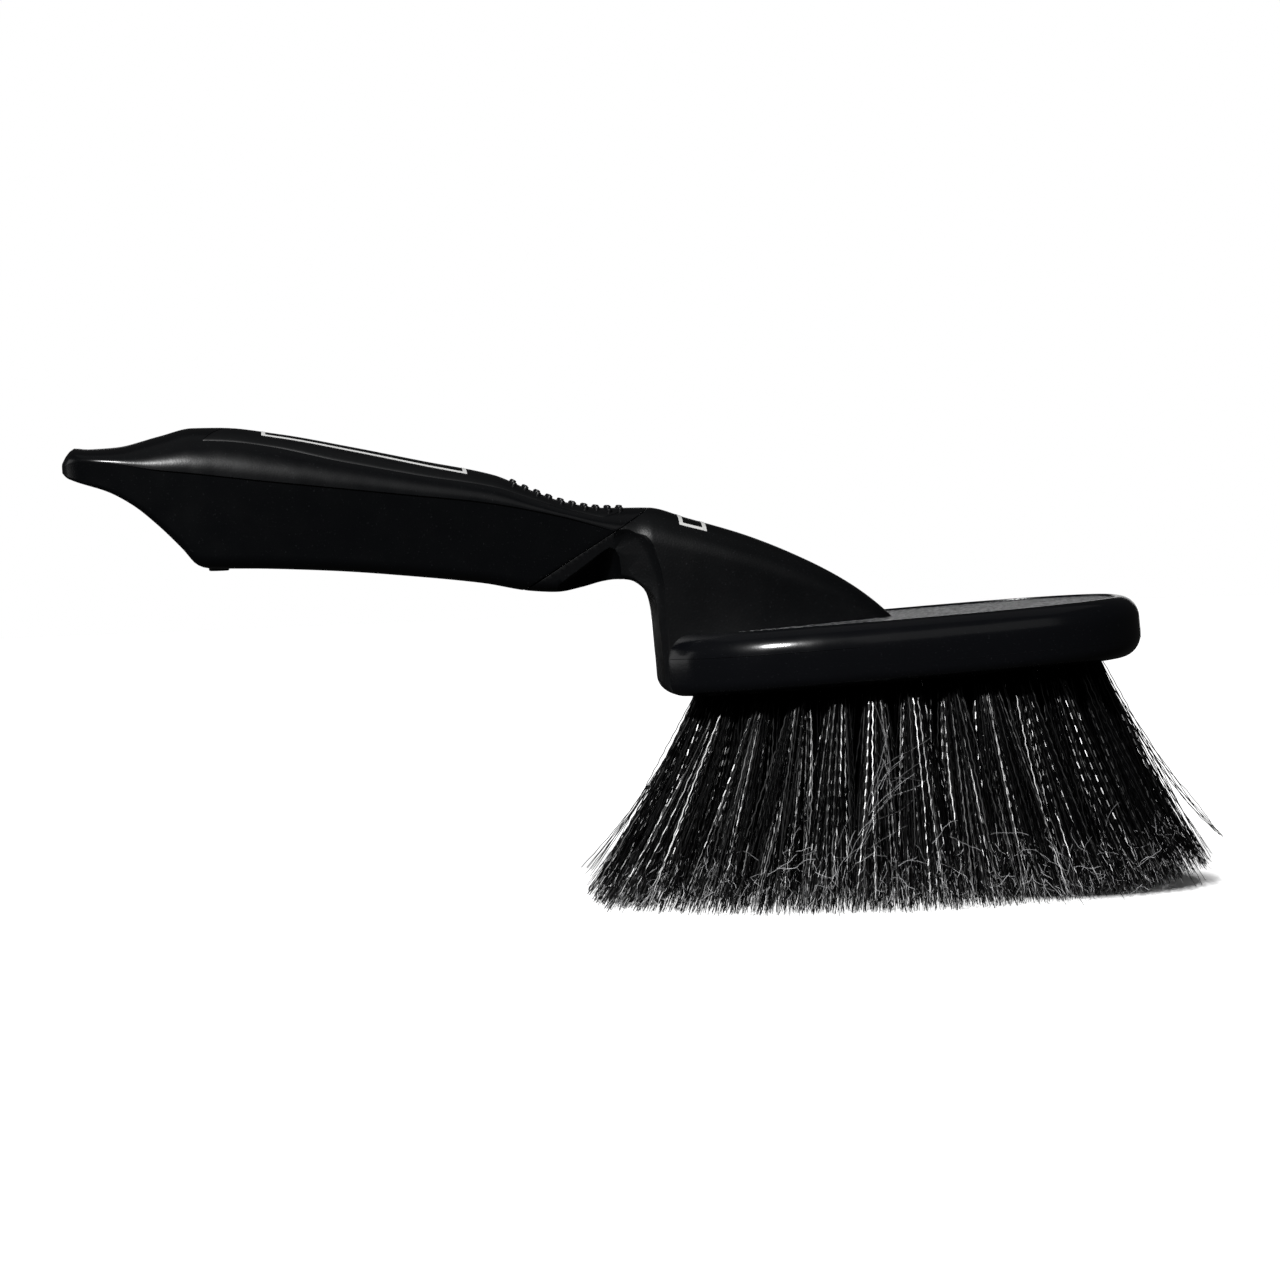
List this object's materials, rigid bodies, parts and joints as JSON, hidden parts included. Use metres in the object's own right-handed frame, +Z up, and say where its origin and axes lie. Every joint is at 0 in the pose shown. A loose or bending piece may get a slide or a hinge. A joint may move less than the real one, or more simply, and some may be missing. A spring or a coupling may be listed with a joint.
{
  "type": "wheel brush",
  "caption": "Short hand brush for car wheels: an oval head of fanned crimped tufts under a soft rim band, with an offset neck and a soft-sleeved handle that ends in a flared tail.",
  "frame": {"origin": "on the plane of the bristle tips, under the middle of the oval head", "axes": "+X from the handle towards the toe of the head, +Z up from the tips to the head, +Y to the left of the brush when looking towards the toe"},
  "size_m": [0.255, 0.089, 0.1118],
  "materials": {
    "rigid_body": "black moulded polypropylene, fine satin grain",
    "soft_grip": "black soft-touch thermoplastic rubber, satin, moulded over the handle",
    "soft_panel": "black thermoplastic rubber inlay with thumb nubs and a plain white printed frame",
    "soft_rim": "black thermoplastic rubber bumper, semi-gloss with a mould line",
    "filament": "crimped black nylon filament, glossy along its sides, split and fuzzy at the tips",
    "staple_wire": "flat steel anchor wire, plain",
    "print_white": "white pad-printed ink outline"
  },
  "bodies": {
    "root": {"brush_body": "rigid_body", "grip_sleeve": "soft_grip", "thumb_panel": "soft_panel", "head_bumper": "soft_rim", "tuft_outer_01": "filament", "tuft_outer_02": "filament", "tuft_outer_03": "filament", "tuft_outer_04": "filament", "tuft_outer_05": "filament", "tuft_outer_06": "filament", "tuft_outer_07": "filament", "tuft_outer_08": "filament", "tuft_outer_09": "filament", "tuft_outer_10": "filament", "tuft_outer_11": "filament", "tuft_outer_12": "filament", "tuft_outer_13": "filament", "tuft_outer_14": "filament", "tuft_outer_15": "filament", "tuft_outer_16": "filament", "tuft_outer_17": "filament", "tuft_outer_18": "filament", "tuft_outer_19": "filament", "tuft_outer_20": "filament", "tuft_outer_21": "filament", "tuft_outer_22": "filament", "tuft_outer_23": "filament", "tuft_outer_24": "filament", "tuft_outer_25": "filament", "tuft_outer_26": "filament", "tuft_inner_01": "filament", "tuft_inner_02": "filament", "tuft_inner_03": "filament", "tuft_inner_04": "filament", "tuft_inner_05": "filament", "tuft_inner_06": "filament", "tuft_inner_07": "filament", "tuft_inner_08": "filament", "tuft_inner_09": "filament", "tuft_inner_10": "filament", "tuft_inner_11": "filament", "tuft_inner_12": "filament", "tuft_inner_13": "filament", "tuft_inner_14": "filament", "tuft_inner_15": "filament", "tuft_inner_16": "filament", "tuft_inner_17": "filament", "tuft_inner_18": "filament", "tuft_inner_19": "filament", "tuft_inner_20": "filament", "tuft_middle_01": "filament", "tuft_middle_02": "filament", "tuft_middle_03": "filament", "tuft_middle_04": "filament", "tuft_middle_05": "filament", "tuft_middle_06": "filament", "tuft_middle_07": "filament"}
  },
  "joints": []
}
